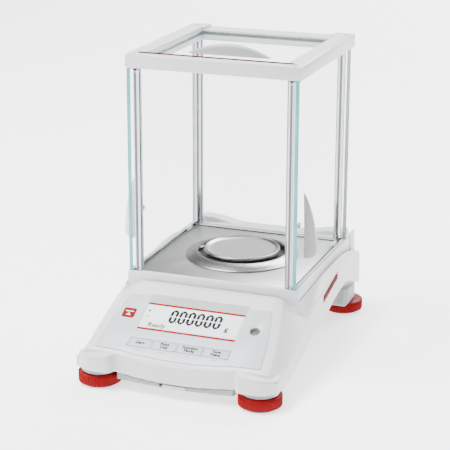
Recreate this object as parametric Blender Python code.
"""Analytical balance: weighing console, glass draft shield and four levelling feet.

All sizes are in millimetres and become metres in finish_mesh(). The origin is the
bottom centre of the resting balance, +X is to the right, -Y is the front, +Z is up.
"""
import math

import bmesh
import bpy
from mathutils import Vector

MM = 0.001
GAP = 0.3
SIDES = (("left", -1), ("right", 1))

# Levelling feet
FOOT_X = 83.0
FOOT_Y = 139.4
FOOT_RADIUS = 21.5
PAD_RADIUS = 18.0
PAD_HEIGHT = 1.5
WHEEL_TOP = 13.0
WHEEL_CHAMFER = 1.5
STUD_RADIUS = 4.0
STUD_TOP = 27.0

# Housing
WALL = 2.8
CREST_ROUND = 2.0
APRON_BOW = 6.0
APRON_HALF = 63.0
CONSOLE_BACK_Y = -53.2
CONSOLE_FRONT_Y = -147.0
APRON_Y = -150.5
WELL_FLOOR = 69.7
WELL_HALF = 91.3
UPSTAND_Y = 133.3
REAR_Y = 150.0
SOCKET_DEPTH = 8.0
LIP_Z = 9.5
TRAY_Z = 12.0
TRAY_FLOOR = 2.6
INNER_FLOOR = TRAY_Z + TRAY_FLOOR + GAP
BOSS_Z = WHEEL_TOP + GAP
LEG_BOTTOM = 18.0
LEG_TOP = 36.6
LEG_X = 82.8
FACE_TOP = 36.5
FACE_DROP = 4.0
LEG_ROUND = 3.0
FACE_SPREAD = 1.06
SHOULDER_DIP = 1.0
SIDE_FLARE = 0.3
INNER_STEPS = 7

# Console plane: a slope through PLANE_Y and PLANE_Z that ends at PLANE_LEVEL
PLANE_Y = -92.0
PLANE_Z = 66.0
PLANE_SLOPE = 0.49
PLANE_LEVEL = 78.0
PLANE_BLEND = 1.5
OVERLAY_THICKNESS = 0.5

# Console layout, across and down the slope from PLANE_Y
LCD = (-51.6, 50.6, -3.0, 30.8)
KEYS_DOWN = (44.0, 54.6)
KEY_EDGES = (-53.3, -29.0, -3.0, 23.5, 50.7)
KEY_NAMES = ("key_zero", "key_unit", "key_mode", "key_tare")
VIAL = (65.4, 15.1)
VIAL_RADIUS = 5.4
OVERLAY_TOP_DOWN = -13.0
OVERLAY_FRONT_DOWN = 61.0
DISPLAY_BOARD = (-57, 72, -10, 54)

# Draft shield
SHIELD_HALF = 91.0
SHIELD_FRONT = -52.5
SHIELD_BACK = 133.0
SHIELD_BOTTOM = 70.0
SHIELD_TOP = 86.0
PLATE_TOP = 84.4
POST_X = 80.5
POST_FRONT = -46.5
POST_BACK = 121.0
POST_RADIUS = 4.0
FRAME_BOTTOM = 295.0
FRAME_TOP = 309.0
FRAME_BACK = 132.4
FRAME_INNER_X = 73.0
FRAME_INNER_FRONT = -40.0
FRAME_INNER_BACK = 112.0
DOOR_INNER = 85.0
DOOR_OUTER = 89.0
TOP_GLASS_Z = 301.0
GLASS = 3.0
SCREW_X = 83.0
SCREW_RADIUS = 2.2

# Weighing pan
PAN_Y = 40.0
PAN_RADIUS = 40.0
PAN_TOP = 93.0
RING_RADIUS = 59.0

# Height of the shoulder, wing and lower edge of the housing, along its depth
SHOULDER = [(-150, 36.5), (-140, 41), (-120, 50), (-100, 60), (-80, 70), (-66, 75.5), (-53, 76), (-12, 77),
            (40, 78.5), (95, 77), (140, 70), (150, 67)]
CREST = [(-150, 29), (-131, 31), (-110, 38.6), (-70, 53.6), (-46, 61), (-26, 65.4), (22, 75.4), (60, 81.4),
         (79, 81.8), (99, 80.2), (150, 65.5)]
LOWER = [(-157, 14), (-150.5, 17), (-140, 17.4), (-122, 17), (-109, 17.9), (-79, 24.8),
         (-24, 37), (-10, 39.5), (25, 42),
         (55, 48), (82, 50.7), (102, 46.7), (125, 38), (150, 29.5)]
CONSOLE_TOP_HALF = [(-150, 86), (-140, 85.7), (-120, 83.6), (-100, 79.8), (-90, 77.2), (-70, 73), (-53, 71)]
CONSOLE_BASE_HALF = [(-150, 94.6), (-130, 92.8), (-110, 89.9), (-90, 85.7), (-70, 80.5), (-53, 76)]

# The tray's bosses, which carry the feet, and the clearances cut for the feet and studs.
BOSS_BOTTOM = 11
BOSS_RADIUS = 18.4
BOSS_NECK = 15.4
FRONT_BOSS_TOP = 26
REAR_BOSS_X = (66.0, 95.6)
REAR_BOSS_Y = (111.3, 146.0)
REAR_BOSS_TOP = 36
WHEEL_CLEARANCE = 0.8
STUD_CLEARANCE = 0.5
STUD_HEADROOM = 3.5

# The space inside the tray, and heights outside it that its cutters reach to.
TRAY_FLAT_HALF = 64.5
TRAY_WALL_FLOOR = 2.5
ABOVE_TRAY = 80
BELOW_TRAY = 5

# How far the keys and the display window reach below the foil's underside.
KEY_UNDERSIDE = -1.4
WINDOW_UNDERSIDE = -0.7

# The exact solver leaves the tray with three open edges by its front right boss.
SOLVERS = {"bottom_housing": "MANIFOLD"}


def curve(points):
    """A smooth height along Y through a few points, without overshoot."""
    ys = [p[0] for p in points]
    zs = [p[1] for p in points]
    secants = [(zs[i + 1] - zs[i]) / (ys[i + 1] - ys[i]) for i in range(len(ys) - 1)]
    slopes = [secants[0]]
    for before, after in zip(secants, secants[1:]):
        slopes.append(0.0 if before * after <= 0 else 2 * before * after / (before + after))
    slopes.append(secants[-1])

    def value(y):
        y = min(max(y, ys[0]), ys[-1])
        i = max(k for k in range(len(ys) - 1) if ys[k] <= y)
        step = ys[i + 1] - ys[i]
        t = (y - ys[i]) / step
        start = (1 + 2 * t) * (1 - t) ** 2 * zs[i] + t * (1 - t) ** 2 * step * slopes[i]
        end = t * t * (3 - 2 * t) * zs[i + 1] + t * t * (t - 1) * step * slopes[i + 1]
        return start + end

    return value


shoulder_z = curve(SHOULDER)
crest_z = curve(CREST)
lower_z = curve(LOWER)
console_top_half = curve(CONSOLE_TOP_HALF)
console_base_half = curve(CONSOLE_BASE_HALF)


def side_x(y):
    """The housing narrows a little to the rear and rounds in at its rear corners."""
    corner = max(0.0, y - (REAR_Y - 8))
    return 103.2 - 3.2 * (y + 140) / 280 - corner * corner / 11


def upstand_z(share):
    """The rear rises in a soft step from its middle to its sides."""
    t = min(max((share - 0.35) / 0.45, 0.0), 1.0)
    return 84.5 + 6.5 * t * t * (3 - 2 * t)


def plane_z(y):
    """The console's working surface: a slope that rounds over to level at the top."""
    slope = PLANE_Z + PLANE_SLOPE * (y - PLANE_Y)
    return 0.5 * (slope + PLANE_LEVEL - math.hypot(slope - PLANE_LEVEL, PLANE_BLEND))


PLANE_NORMAL = Vector((0, -PLANE_SLOPE, 1)).normalized()
PLANE_ACROSS = Vector((0, -1, -PLANE_SLOPE)).normalized()


def on_console(x, down, lift=0.0):
    """A point on the console plane: down is measured along the slope from PLANE_Y."""
    return Vector((x, PLANE_Y, PLANE_Z)) + PLANE_ACROSS * down + PLANE_NORMAL * lift


def material(name, color, roughness, metallic=0.0, alpha=1.0, transmission=0.0):
    mat = bpy.data.materials.new(name)
    mat.use_nodes = True
    shader = mat.node_tree.nodes["Principled BSDF"]
    shader.inputs["Base Color"].default_value = (*color, 1.0)
    shader.inputs["Roughness"].default_value = roughness
    shader.inputs["Metallic"].default_value = metallic
    shader.inputs["Alpha"].default_value = alpha
    shader.inputs["Transmission Weight"].default_value = transmission
    return mat


def white(name):
    return material(name, (0.80, 0.80, 0.83), 0.4)


def steel(name, roughness=0.25):
    return material(name, (0.62, 0.61, 0.60), roughness, metallic=1.0)


def glass(name):
    return material(name, (0.85, 0.96, 0.95), 0.03, alpha=0.3, transmission=1.0)


def dark(name):
    return material(name, (0.05, 0.05, 0.055), 0.5)


def finish_mesh(name, bm, mat, origin=(0, 0, 0)):
    """Turn a bmesh drawn in millimetres at its final place into an object with its own origin."""
    bmesh.ops.remove_doubles(bm, verts=bm.verts, dist=0.001)
    bmesh.ops.dissolve_degenerate(bm, edges=bm.edges, dist=0.001)
    bmesh.ops.recalc_face_normals(bm, faces=bm.faces)
    for vert in bm.verts:
        vert.co = (vert.co - Vector(origin)) * MM
    mesh = bpy.data.meshes.new(name)
    bm.to_mesh(mesh)
    bm.free()
    mesh.shade_smooth()
    mesh.set_sharp_from_angle(angle=math.radians(30))
    if mat is not None:
        mesh.materials.append(mat)
    obj = bpy.data.objects.new(name, mesh)
    obj.location = Vector(origin) * MM
    bpy.context.collection.objects.link(obj)
    return obj


def box_mesh(low, high, bevel=0.0, segments=1):
    bm = bmesh.new()
    bmesh.ops.create_cube(bm, size=1.0)
    for vert in bm.verts:
        vert.co = Vector([lo if c < 0 else hi for c, lo, hi in zip(vert.co, low, high)])
    if bevel:
        bmesh.ops.bevel(bm, geom=bm.edges[:], offset=bevel, segments=segments, affect="EDGES", profile=0.5)
    return bm


def prism_mesh(outline, base, push):
    """Extrude a closed outline of 3-D points along a vector."""
    bm = bmesh.new()
    face = bm.faces.new([bm.verts.new(Vector(p) + Vector(base)) for p in outline])
    extruded = bmesh.ops.extrude_face_region(bm, geom=[face])
    moved = [g for g in extruded["geom"] if isinstance(g, bmesh.types.BMVert)]
    bmesh.ops.translate(bm, verts=moved, vec=Vector(push))
    return bm


def turned_mesh(profile, segments, center):
    """Turn a profile of (radius, height) points about a vertical axis through center."""
    bm = bmesh.new()
    verts = [bm.verts.new((center[0] + r, center[1], center[2] + z)) for r, z in profile]
    pairs = zip(verts, verts[1:] + verts[:1])
    edges = [bm.edges.new(pair) for pair in pairs if pair[0].co.x > center[0] or pair[1].co.x > center[0]]
    bmesh.ops.spin(bm, geom=verts + edges, cent=center, axis=(0, 0, 1), angle=2 * math.pi,
                   steps=segments, use_merge=True, use_normal_flip=False)
    return bm


def rod_mesh(start, end, radius, segments):
    """A cylinder between two points."""
    start = Vector(start)
    axis = Vector(end) - start
    bm = bmesh.new()
    bmesh.ops.create_cone(bm, cap_ends=True, segments=segments, radius1=radius, radius2=radius,
                          depth=axis.length)
    turn = axis.to_track_quat("Z", "Y").to_matrix()
    for vert in bm.verts:
        vert.co = turn @ vert.co + start + axis / 2
    return bm


def shell_mesh(tops, bottoms):
    """Close the space between two grids of points with the same rows and columns."""
    bm = bmesh.new()
    upper = [[bm.verts.new(p) for p in row] for row in tops]
    lower = [[bm.verts.new(p) for p in row] for row in bottoms]
    rows = len(tops)
    columns = len(tops[0])
    for grid in (upper, lower):
        for r in range(rows - 1):
            for c in range(columns - 1):
                bm.faces.new((grid[r][c], grid[r][c + 1], grid[r + 1][c + 1], grid[r + 1][c]))
    for r in range(rows - 1):
        for c in (0, columns - 1):
            bm.faces.new((upper[r][c], upper[r + 1][c], lower[r + 1][c], lower[r][c]))
    for c in range(columns - 1):
        for r in (0, rows - 1):
            bm.faces.new((upper[r][c], upper[r][c + 1], lower[r][c + 1], lower[r][c]))
    bmesh.ops.remove_doubles(bm, verts=bm.verts, dist=0.001)
    bmesh.ops.dissolve_degenerate(bm, edges=bm.edges, dist=0.001)
    bmesh.ops.triangulate(bm, faces=bm.faces)
    return bm


def boolean(target, tool_mesh, operation, name):
    """Join or cut target with a shape that stays in the scene as a hidden guide."""
    tool = finish_mesh(name, tool_mesh, None)
    tool.hide_render = True
    tool.display_type = "WIRE"
    modifier = target.modifiers.new(name, "BOOLEAN")
    modifier.operation = operation
    modifier.solver = SOLVERS.get(target.name, "EXACT")
    modifier.object = tool


def cut(target, tool_mesh, name):
    boolean(target, tool_mesh, "DIFFERENCE", "cut_" + name)


def join(target, tool_mesh, name):
    boolean(target, tool_mesh, "UNION", "join_" + name)


def mirrored(half):
    """A full row from its right half, which starts on the centre line."""
    left = [Vector((-p[0], p[1], p[2])) for p in reversed(half[1:])]
    return left + [Vector(p) for p in half]


def bow(x):
    """How far the front curves forward of its ends, from 0 to 1."""
    return max(0.0, 1 - (x / APRON_HALF) ** 2)


def wing_run(base, y):
    """From the console's base over the hollow shoulder to the wing's rim and down its side."""
    crest_x = side_x(y)
    crest = crest_z(y)
    rim_start = (crest_x - CREST_ROUND, crest)
    run = [base]
    for t in (0.25, 0.5, 0.75):
        x = base[0] + (rim_start[0] - base[0]) * t
        z = base[1] + (rim_start[1] - base[1]) * t - SHOULDER_DIP * 4 * t * (1 - t)
        run.append((x, z))
    for degrees in (90, 60, 30, 0):
        turn = math.radians(degrees)
        reach = CREST_ROUND * (1 - math.cos(turn))
        run.append((crest_x - reach, crest - CREST_ROUND * (1 - math.sin(turn))))
    run.append((crest_x + SIDE_FLARE, lower_z(y)))
    return run


def housing_row(kind, y):
    """Half a cross-section of the top housing, and the line below it."""
    bow_here = APRON_BOW if kind in ("front_edge", "front_face") else 0.0
    shares = [k / INNER_STEPS for k in range(INNER_STEPS + 1)]
    base = (console_base_half(y), shoulder_z(y))
    if kind == "well":
        inner = [(WELL_HALF * share, WELL_FLOOR) for share in shares]
        base = (WELL_HALF, shoulder_z(y))
    elif kind == "upstand":
        inner = [(WELL_HALF * share, upstand_z(share)) for share in shares]
        base = (WELL_HALF + 0.8, shoulder_z(y))
    elif kind == "front_face":
        half = console_top_half(y) * FACE_SPREAD
        inner = [(half * share, FACE_TOP - FACE_DROP * bow(half * share)) for share in shares]
        base = (console_base_half(y), FACE_TOP - 1.0)
    else:
        half = console_top_half(y)
        inner = [(half * share, plane_z(y - bow_here * bow(half * share))) for share in shares]
    row = []
    below = []
    for x, z in inner + wing_run(base, y):
        place = y - bow_here * bow(x)
        row.append(Vector((x, place, z)))
        below.append(Vector((x, place, lower_z(place))))
    return row, below


def spread(first, last, count):
    return [first + (last - first) * k / (count - 1) for k in range(count)]


def housing_rows():
    stations = [("front_face", APRON_Y), ("front_edge", CONSOLE_FRONT_Y)]
    stations += [("console", y) for y in spread(-140, CONSOLE_BACK_Y, 14)]
    stations += [("well", y) for y in spread(CONSOLE_BACK_Y + 0.4, UPSTAND_Y - 0.2, 16)]
    stations += [("upstand", y) for y in (UPSTAND_Y, 143, 147, REAR_Y)]
    rows = [housing_row(kind, y) for kind, y in stations]
    return [mirrored(row) for row, _ in rows], [mirrored(below) for _, below in rows]


def leg_mesh(side):
    """The rounded front leg that stands over a front foot."""
    outline = [(APRON_HALF, -140), (APRON_HALF + 0.2, -154), (APRON_HALF + 1.6, -158.5), (68, -160.6)]
    for degrees in range(-90, 1, 10):
        turn = math.radians(degrees)
        outline.append((LEG_X + 20.6 * math.cos(turn), -FOOT_Y + 21.4 * math.sin(turn)))
    outline += [(101.5, -126), (80, -126)]
    bm = bmesh.new()
    low = [bm.verts.new((side * x, y, LEG_BOTTOM)) for x, y in outline]
    top = [bm.verts.new((side * x, y, LEG_TOP - 0.14 * (x - 66))) for x, y in outline]
    bm.faces.new(low)
    bm.faces.new(top)
    count = len(outline)
    for i in range(count):
        j = (i + 1) % count
        bm.faces.new((low[i], low[j], top[j], top[i]))
    top_edges = [edge for edge in bm.edges if all(v in top for v in edge.verts)]
    bmesh.ops.bevel(bm, geom=top_edges, offset=LEG_ROUND, segments=3, profile=0.5, affect="EDGES",
                    clamp_overlap=True)
    return bm


def make_top_housing():
    tops, bottoms = housing_rows()
    body = finish_mesh("top_housing", shell_mesh(tops, bottoms), white("housing_white"))
    for name, side in SIDES:
        join(body, leg_mesh(side), "leg_" + name)
    cavity_stations = (-143, -120, -100, -75, -52, -49, -20, 20, 60, 100, 130, REAR_Y - WALL - 1)
    tops = []
    bottoms = []
    for y in cavity_stations:
        roof = min(plane_z(y), WELL_FLOOR) if y < -50 else WELL_FLOOR
        roof = min(roof, plane_z(y + 6)) - WALL if y < -60 else WELL_FLOOR - WALL
        wing = min(crest_z(y), crest_z(y - 4)) - 5
        wide = side_x(y) - WALL
        shoulder_low = min(shoulder_z(y), shoulder_z(y - 4)) - 5
        top = [(0, y, roof), (60, y, roof), (84, y, min(roof, shoulder_low)), (wide - 2, y, wing)]
        top += [(wide, y, min(wing, lower_z(y) + 1.0))]
        tops.append(mirrored(top))
        bottoms.append(mirrored([(x, y, 5.0) for x, _, _ in top]))
    cut(body, shell_mesh(tops, bottoms), "housing_cavity")
    for name, side in SIDES:
        bore = turned_mesh([(0, 5), (19.0, 5), (19.0, LEG_BOTTOM), (16, LEG_BOTTOM), (16, 30), (0, 30)], 32,
                           (side * FOOT_X, -FOOT_Y, 0))
        cut(body, bore, "leg_bore_" + name)
        slot_low = (side * 87 - 3.0, UPSTAND_Y - 2, SHIELD_TOP - 0.6)
        slot_high = (side * 87 + 3.0, REAR_Y + 5, 100)
        cut(body, box_mesh(slot_low, slot_high), "door_slot_" + name)
    cut(body, box_mesh((-75, -45, 60), (75, 120, 75)), "well_window")
    return body


def tray_row(y, kind):
    """A cross-section of the tray: its rim meets the housing, its sides slope in to the floor."""
    row = []
    below = []
    half = 55.0 if kind == "lip" else 66.0
    for share in (0, 0.25, 0.5, 0.75, 1):
        row.append([half * share, y, 0])
        below.append([half * share, y, TRAY_Z])
    wide = 60.5 if kind == "lip" else side_x(y) - WALL - 2 * GAP
    row.append([wide, y, 0])
    below.append([wide, y, TRAY_Z])
    for point, low in zip(row, below):
        if kind == "lip":
            forward = APRON_BOW * bow(point[0]) if y < APRON_Y else 0.0
            point[1] = low[1] = y + 1.4 - forward
            point[2] = lower_z(y - APRON_BOW * bow(point[0])) - GAP
            low[2] = LIP_Z
        else:
            point[2] = lower_z(y) + 0.6
            low[2] = LIP_Z if y < -130 else TRAY_Z
    if kind != "lip":
        below[-1][2] = row[-1][2] - 0.5
    return mirrored(row), mirrored(below)


def make_bottom_housing():
    tops = []
    bottoms = []
    stations = [(APRON_Y - 0.5, "lip"), (-144.2, "lip")]
    stations += [(y, "tray") for y in (-142.4, -125, -105, -75, -45, -15, 20, 50, 80, 105, 125)]
    stations.append((REAR_Y - WALL - 1.6, "tray"))
    for y, kind in stations:
        upper, lower = tray_row(y, kind)
        tops.append(upper)
        bottoms.append(lower)
    grey = material("housing_grey", (0.62, 0.62, 0.65), 0.5)
    tray = finish_mesh("bottom_housing", shell_mesh(tops, bottoms), grey)
    for name, side in SIDES:
        boss = [(0, BOSS_BOTTOM), (BOSS_RADIUS, BOSS_BOTTOM), (BOSS_RADIUS, LEG_BOTTOM - GAP),
                (BOSS_NECK, LEG_BOTTOM - GAP), (BOSS_NECK, FRONT_BOSS_TOP), (0, FRONT_BOSS_TOP)]
        join(tray, turned_mesh(boss, 32, (side * FOOT_X, -FOOT_Y, 0)), "front_boss_" + name)
        low_x, high_x = sorted((side * REAR_BOSS_X[0], side * REAR_BOSS_X[1]))
        rear = box_mesh((low_x, REAR_BOSS_Y[0], BOSS_BOTTOM), (high_x, REAR_BOSS_Y[1], REAR_BOSS_TOP),
                        bevel=4.0)
        join(tray, rear, "rear_boss_" + name)
    for name, side in SIDES:
        for end, place in (("front", -FOOT_Y), ("rear", FOOT_Y)):
            reach = FOOT_RADIUS + WHEEL_CLEARANCE
            profile = [(0, 0), (reach, 0), (reach, BOSS_Z), (0, BOSS_Z)]
            arch = turned_mesh(profile, 44, (side * FOOT_X, place, 0))
            cut(tray, arch, "wheel_arch_" + end + "_" + name)
    inner_tops = []
    inner_bottoms = []
    for y in (-138, -125, -105, -75, -45, -15, 20, 50, 80, 105, 125, REAR_Y - WALL - 4.5):
        wide = side_x(y) - 2 * WALL - 3
        floor = TRAY_Z + TRAY_FLOOR
        ledge = lower_z(y) + TRAY_WALL_FLOOR
        inner_bottoms.append(mirrored([(0, y, floor), (TRAY_FLAT_HALF, y, floor), (wide, y, ledge)]))
        inner_tops.append(mirrored([(x, y, ABOVE_TRAY) for x in (0, TRAY_FLAT_HALF, wide)]))
    cut(tray, shell_mesh(inner_tops, inner_bottoms), "tray_cavity")
    for name, side in SIDES:
        for end, place in (("front", -FOOT_Y), ("rear", FOOT_Y)):
            low = (side * FOOT_X, place, BELOW_TRAY)
            high = (side * FOOT_X, place, STUD_TOP + STUD_HEADROOM)
            hole = rod_mesh(low, high, STUD_RADIUS + STUD_CLEARANCE, 20)
            cut(tray, hole, "stud_hole_" + end + "_" + name)
    cut(tray, rod_mesh((0, PAN_Y, 5), (0, PAN_Y, 16), 9.0, 32), "weigh_below_hole")
    return tray


def make_feet():
    for end, place in (("front", -FOOT_Y), ("rear", FOOT_Y)):
        for name, side in SIDES:
            tag = end + "_" + name
            center = (side * FOOT_X, place, 0)
            pad = [(0, 0), (PAD_RADIUS, 0), (PAD_RADIUS, PAD_HEIGHT - GAP), (0, PAD_HEIGHT - GAP)]
            finish_mesh("foot_pad_" + tag, turned_mesh(pad, 32, center), dark("rubber_" + tag), center)
            edge = FOOT_RADIUS - WHEEL_CHAMFER
            wheel = [(0, PAD_HEIGHT), (edge, PAD_HEIGHT), (FOOT_RADIUS, PAD_HEIGHT + WHEEL_CHAMFER),
                     (FOOT_RADIUS, WHEEL_TOP - WHEEL_CHAMFER), (edge, WHEEL_TOP), (STUD_RADIUS, WHEEL_TOP),
                     (STUD_RADIUS, STUD_TOP), (0, STUD_TOP)]
            red = material("foot_red_" + tag, (0.55, 0.01, 0.02), 0.4)
            finish_mesh("foot_wheel_" + tag, turned_mesh(wheel, 48, center), red, center)


def console_slab(corners, low, high):
    """A plate on the console plane with its corners given across and down the slope."""
    outline = [on_console(x, down, low) for x, down in corners]
    return prism_mesh(outline, (0, 0, 0), PLANE_NORMAL * (high - low))


def rectangle(x0, x1, down0, down1):
    return [(x0, down0), (x1, down0), (x1, down1), (x0, down1)]


def overlay_outline():
    """The printed foil follows the console's curved sides and bowed front."""
    slope_length = math.hypot(1, PLANE_SLOPE)
    right = []
    for down in (OVERLAY_TOP_DOWN, 0, 20, 40, OVERLAY_FRONT_DOWN):
        right.append((console_top_half(PLANE_Y - down / slope_length) - 0.8, down))
    front = [(x, OVERLAY_FRONT_DOWN + APRON_BOW * bow(x)) for x in (60, 40, 20, 0, -20, -40, -60)]
    left = [(-x, down) for x, down in reversed(right)]
    return right + front + left


def make_console():
    top = OVERLAY_THICKNESS
    foil = finish_mesh("keypad_overlay", console_slab(overlay_outline(), GAP, GAP + top),
                       material("overlay_grey", (0.72, 0.74, 0.78), 0.45))
    cut(foil, console_slab(rectangle(*LCD), -2, 3), "lcd_opening")
    vial_hole = rod_mesh(on_console(*VIAL, -3), on_console(*VIAL, 4), VIAL_RADIUS, 24)
    cut(foil, vial_hole, "vial_opening")
    for name, left, right in zip(KEY_NAMES, KEY_EDGES, KEY_EDGES[1:]):
        area = rectangle(left + 0.3, right - 0.3, *KEYS_DOWN)
        cut(foil, console_slab(area, -2, 3), "opening_" + name)
        cap = rectangle(left + 0.6, right - 0.6, KEYS_DOWN[0] + 0.3, KEYS_DOWN[1] - 0.3)
        center = on_console((left + right) / 2, sum(KEYS_DOWN) / 2)
        grey = material(name + "_cap", (0.66, 0.68, 0.70), 0.5)
        finish_mesh(name, console_slab(cap, KEY_UNDERSIDE, GAP + top), grey, center)
    window = rectangle(LCD[0] + 0.3, LCD[1] - 0.3, LCD[2] + 0.3, LCD[3] - 0.3)
    pale = material("lcd_window", (0.86, 0.92, 0.95), 0.15)
    finish_mesh("lcd_window", console_slab(window, WINDOW_UNDERSIDE, GAP + top), pale)
    module = rectangle(LCD[0] + 2, LCD[1] - 2, LCD[2] + 2, LCD[3] - 2)
    finish_mesh("lcd_module", console_slab(module, -7.0, -1.0), dark("lcd_module"))
    vial = rod_mesh(on_console(*VIAL, -8.0), on_console(*VIAL, -2.3), VIAL_RADIUS - 0.4, 24)
    finish_mesh("level_vial", vial, material("vial_liquid", (0.75, 0.85, 0.35), 0.1))
    lens = rod_mesh(on_console(*VIAL, -2.0), on_console(*VIAL, -1.0), VIAL_RADIUS - 0.4, 24)
    finish_mesh("level_lens", lens, glass("vial_glass"))
    board = console_slab(rectangle(*DISPLAY_BOARD), -11.0, -9.4)
    finish_mesh("display_board", board, material("board_green", (0.02, 0.22, 0.10), 0.5))


def cut_console(housing):
    """Openings in the top housing for everything that the console carries."""
    cut(housing, console_slab(rectangle(*LCD), -12, 2), "lcd_hole")
    cut(housing, rod_mesh(on_console(*VIAL, -12), on_console(*VIAL, 2), VIAL_RADIUS, 24), "vial_hole")
    for name, left, right in zip(KEY_NAMES, KEY_EDGES, KEY_EDGES[1:]):
        cut(housing, console_slab(rectangle(left + 0.3, right - 0.3, *KEYS_DOWN), -8, 2), "hole_" + name)


def make_weighing():
    center = (0, PAN_Y, 0)
    pan = [(0, PAN_TOP - 1.6), (36.5, PAN_TOP - 1.6), (37.6, PAN_TOP - 0.4), (38.8, PAN_TOP),
           (39.7, PAN_TOP - 0.8),
           (PAN_RADIUS, PAN_TOP - 2.2), (39.5, PAN_TOP - 3.6), (38, PAN_TOP - 4.2), (0, PAN_TOP - 4.2)]
    finish_mesh("weighing_pan", turned_mesh(pan, 56, center), steel("pan_steel", 0.3), center)
    carrier = [(0, 62.0), (4.0, 62.0), (4.0, 80.0), (12.0, 84.0), (14.0, 86.0), (14.0, PAN_TOP - 4.5),
               (0, PAN_TOP - 4.5)]
    finish_mesh("pan_carrier", turned_mesh(carrier, 24, center), steel("carrier_steel"), center)
    base = PLATE_TOP + GAP
    ring = [(46.0, 89.0), (46.8, 90.2), (48.0, 90.3), (57.8, base + 1.2), (RING_RADIUS, base + 0.9),
            (RING_RADIUS + 0.3, base), (56.5, base), (47.0, 88.6)]
    finish_mesh("draft_ring", turned_mesh(ring, 64, center), steel("ring_steel", 0.2))



def make_shield():
    tub = box_mesh((-SHIELD_HALF, SHIELD_FRONT, SHIELD_BOTTOM), (SHIELD_HALF, SHIELD_BACK, SHIELD_TOP),
                   bevel=1.2, segments=2)
    base = finish_mesh("shield_base", tub, white("shield_base_white"))
    plate_half = 87.0
    recess = box_mesh((-plate_half, -47.0, PLATE_TOP - 1.8), (plate_half, 118.0, SHIELD_TOP + 2))
    cut(base, recess, "plate_recess")
    cut(base, box_mesh((-72, -36, 65), (72, 108, 90)), "base_window")
    plate = box_mesh((-plate_half + GAP, -47.0 + GAP, PLATE_TOP - 1.5),
                     (plate_half - GAP, 118.0 - GAP, PLATE_TOP))
    plate = finish_mesh("chamber_plate", plate, steel("plate_steel", 0.4))
    cut(plate, rod_mesh((0, PAN_Y, 75), (0, PAN_Y, 95), 16.0, 32), "carrier_hole")
    block = box_mesh((-SHIELD_HALF, -52.2, FRAME_BOTTOM), (SHIELD_HALF, FRAME_BACK, FRAME_TOP),
                     bevel=1.5, segments=2)
    frame = finish_mesh("top_frame", block, white("frame_white"))
    opening = box_mesh((-FRAME_INNER_X, FRAME_INNER_FRONT, 280), (FRAME_INNER_X, FRAME_INNER_BACK, 320))
    cut(frame, opening, "frame_opening")
    groove = box_mesh((-76, FRAME_INNER_FRONT + 0.5, TOP_GLASS_Z - 0.4),
                      (76, FRAME_BACK + 5, TOP_GLASS_Z + GLASS + 0.4))
    cut(frame, groove, "glass_groove")
    step = box_mesh((-70, FRAME_INNER_BACK - 4, FRAME_TOP - 2.5), (70, FRAME_BACK + 5, 320))
    cut(frame, step, "rear_step")
    top_glass = box_mesh((-75.6, FRAME_INNER_FRONT + 0.9, TOP_GLASS_Z),
                         (75.6, FRAME_INNER_BACK + 6, TOP_GLASS_Z + GLASS))
    finish_mesh("top_door_glass", top_glass, glass("top_glass"))
    trim = box_mesh((-80, FRAME_INNER_FRONT - 2.2, FRAME_TOP - 0.8),
                    (80, FRAME_INNER_FRONT - 1.0, FRAME_TOP + 0.1))
    finish_mesh("red_trim", trim, material("trim_red", (0.3, 0.03, 0.04), 0.4))
    slot = box_mesh((-80.3, FRAME_INNER_FRONT - 2.5, FRAME_TOP - 1.1),
                    (80.3, FRAME_INNER_FRONT - 0.7, FRAME_TOP + 1))
    cut(frame, slot, "trim_slot")
    for end, place in (("front", POST_FRONT), ("rear", POST_BACK)):
        for name, side in SIDES:
            tag = end + "_" + name
            bottom = (PLATE_TOP if place < 118 else SHIELD_TOP) + GAP
            socket = rod_mesh((side * POST_X, place, bottom - GAP), (side * POST_X, place, 90),
                              POST_RADIUS + GAP, 24)
            cut(base, socket, "post_socket_" + tag)
            post = rod_mesh((side * POST_X, place, bottom), (side * POST_X, place, FRAME_BOTTOM - GAP),
                            POST_RADIUS, 24)
            finish_mesh("post_" + tag, post, steel("chrome_" + tag, 0.08))
            spot = (side * SCREW_X, -46.0 if end == "front" else 124.0)
            screw = rod_mesh((*spot, FRAME_TOP - 2.0), (*spot, FRAME_TOP - GAP), SCREW_RADIUS, 12)
            finish_mesh("frame_screw_" + tag, screw, steel("screw_" + tag, 0.3))
            hole = rod_mesh((*spot, FRAME_TOP - 2.0 - GAP), (*spot, FRAME_TOP + 2), SCREW_RADIUS + GAP, 12)
            cut(frame, hole, "screw_hole_" + tag)
    pane = POST_X - POST_RADIUS - GAP
    front = box_mesh((-pane, POST_FRONT - GLASS / 2, PLATE_TOP + GAP),
                     (pane, POST_FRONT + GLASS / 2, FRAME_BOTTOM - GAP))
    finish_mesh("front_glass", front, glass("front_glass"))
    slot = box_mesh((-pane - GAP, POST_FRONT - GLASS / 2 - GAP, PLATE_TOP), (pane + GAP, POST_FRONT, 90))
    cut(base, slot, "front_glass_slot")
    rear = box_mesh((-pane, POST_BACK - GLASS / 2, SHIELD_TOP + GAP),
                    (pane, POST_BACK + GLASS / 2, FRAME_BOTTOM - GAP))
    finish_mesh("rear_glass", rear, glass("rear_glass"))


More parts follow.
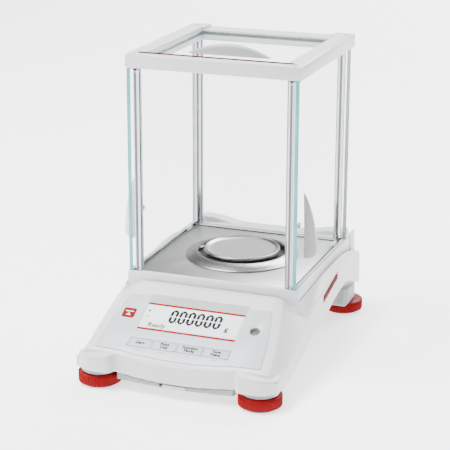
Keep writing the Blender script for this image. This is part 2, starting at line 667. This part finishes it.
def fin_mesh(side):
    """A tall fin-shaped pull: straight front edge, widest low down, pointed top."""
    front = -34.5
    depth = 12.0
    outline = [(0, 115), (9.5, 115.6), (13.2, 119), (14.0, 127), (13.2, 140), (10.8, 155), (6.6, 170),
               (0.8, 181)]
    points = [(side * (DOOR_OUTER + GAP + out), front, z) for out, z in outline]
    bm = bmesh.new()
    near = [bm.verts.new(p) for p in points]
    far = []
    for x, y, z in points:
        share = (z - 115) / 66
        back_x = x if abs(x) < DOOR_OUTER + 1 else x - side * 1.0
        back_y = y + depth * (1 - 0.75 * share ** 2)
        far.append(bm.verts.new((back_x, back_y, z)))
    bm.faces.new(near)
    bm.faces.new(far)
    count = len(points)
    for i in range(count):
        j = (i + 1) % count
        bm.faces.new((near[i], near[j], far[j], far[i]))
    return bm


def make_doors():
    for name, side in SIDES:
        low_x, high_x = sorted((side * DOOR_INNER, side * DOOR_OUTER))
        pane = box_mesh((low_x, -52.0, SHIELD_TOP + GAP), (high_x, 124.0, FRAME_BOTTOM - GAP))
        finish_mesh(name + "_door_glass", pane, glass(name + "_glass"), (side * 87, 36, 190))
        grey = material(name + "_handle_grey", (0.5, 0.5, 0.5), 0.4)
        finish_mesh(name + "_door_handle", fin_mesh(side), grey)
        head = DOOR_INNER - GAP
        stub = rod_mesh((side * head, -28, 146), (side * (head - 2.6), -28, 146), 3.0, 16)
        finish_mesh(name + "_handle_screw", stub, steel(name + "_handle_screw", 0.3))
        low_x, high_x = sorted((side * 81.2, side * (DOOR_INNER - GAP)))
        guide = box_mesh((low_x, 92, PLATE_TOP + GAP), (high_x, 104, 90), bevel=0.8)
        finish_mesh(name + "_door_guide", guide, white(name + "_guide_white"))
    arc = []
    half = 43.0
    rise = 11.0
    for k in range(13):
        x = -half + 2 * half * k / 12
        arc.append((x, 0, rise * (1 - (x / half) ** 2)))
    outline = [(x, y, z + 0.4) for x, y, z in arc] + [(half, 0, 0), (-half, 0, 0)]
    handle = prism_mesh(outline, (0, -5, TOP_GLASS_Z + GLASS + GAP), (0, 8, 0))
    finish_mesh("top_door_handle", handle, material("top_handle_grey", (0.6, 0.6, 0.6), 0.4))


def make_internals():
    aluminium = material("cast_aluminium", (0.6, 0.6, 0.61), 0.45, metallic=1.0)
    block = box_mesh((-30, -15, INNER_FLOOR), (30, 95, 61.5), bevel=3.0)
    cell = finish_mesh("load_cell_body", block, aluminium)
    cut(cell, box_mesh((-40, -5, 30), (40, 60, 50)), "cell_window")
    cut(cell, rod_mesh((0, PAN_Y, INNER_FLOOR - 1), (0, PAN_Y, 70), 5.0, 24), "cell_bore")
    coil = rod_mesh((0, 5, 30 + GAP), (0, 5, 50 - GAP), 9.0, 24)
    finish_mesh("force_coil", coil, material("coil_copper", (0.6, 0.28, 0.12), 0.4, metallic=1.0))
    board = box_mesh((-60, 102, INNER_FLOOR), (60, 104, 60))
    finish_mesh("main_board", board, material("main_board_green", (0.02, 0.22, 0.10), 0.5))
    cam_center = (45, 40, 0)
    cam = turned_mesh([(0, INNER_FLOOR), (9, INNER_FLOOR), (9, 21), (0, 21)], 24, cam_center)
    finish_mesh("calibration_cam", cam, material("cam_white", (0.8, 0.8, 0.75), 0.5), cam_center)
    lifter = box_mesh((38, 24, 21 + GAP), (52, 48.5, 31 - GAP), bevel=1.0)
    finish_mesh("weight_lifter", lifter, material("lifter_grey", (0.4, 0.4, 0.42), 0.5), cam_center)
    weight = rod_mesh((45, 20, 40), (45, 60, 40), 9.0, 24)
    finish_mesh("calibration_weight", weight, steel("calibration_steel", 0.2), cam_center)
    motor = box_mesh((36, 49.6, INNER_FLOOR), (54, 60.2, 30), bevel=1.5)
    finish_mesh("calibration_motor", motor, dark("motor_black"))
    hook = turned_mesh([(0, 15.2), (3.5, 15.2), (3.5, 60), (0, 60)], 16, (0, PAN_Y, 0))
    finish_mesh("weigh_below_rod", hook, steel("weigh_below_steel"), (0, PAN_Y, 15))
    cover = box_mesh((-12, PAN_Y - 12, TRAY_Z - 2.0), (12, PAN_Y + 12, TRAY_Z - GAP))
    grey = material("cover_grey", (0.5, 0.5, 0.52), 0.5)
    finish_mesh("weigh_below_cover", cover, grey, (-9, PAN_Y - 9, TRAY_Z - 1))


def make_rear(housing):
    """Power inlet and data sockets in the rear wall."""
    sockets = (("power_jack", -52, 8, 9), ("serial_port", -10, 31, 12.5), ("usb_port", 38, 12, 11))
    for name, x, width, height in sockets:
        low = (x - width / 2, REAR_Y - SOCKET_DEPTH - 3, 46 - height / 2)
        high = (x + width / 2, REAR_Y - 0.2, 46 + height / 2)
        socket = finish_mesh(name, box_mesh(low, high), dark(name + "_black"))
        inner_low = (low[0] + 1.4, REAR_Y - SOCKET_DEPTH, low[2] + 1.4)
        inner_high = (high[0] - 1.4, REAR_Y + 5, high[2] - 1.4)
        cut(socket, box_mesh(inner_low, inner_high), name + "_mouth")
        hole_low = [low[0] - GAP, REAR_Y - 20, low[2] - GAP]
        hole_high = [high[0] + GAP, REAR_Y + 5, high[2] + GAP]
        cut(housing, box_mesh(hole_low, hole_high), name + "_hole")
    lip_front = APRON_Y - 0.5 + 1.4 - APRON_BOW
    plate = box_mesh((-9.5, lip_front - 0.9, 10.0), (13.0, lip_front - GAP, 13.4))
    finish_mesh("data_plate", plate, material("plate_white", (0.8, 0.8, 0.8), 0.5))


def clear_scene():
    for obj in list(bpy.data.objects):
        bpy.data.objects.remove(obj, do_unlink=True)


def main():
    clear_scene()
    housing = make_top_housing()
    cut_console(housing)
    make_rear(housing)
    make_bottom_housing()
    make_feet()
    make_console()
    make_weighing()
    make_shield()
    make_doors()
    make_internals()


main()
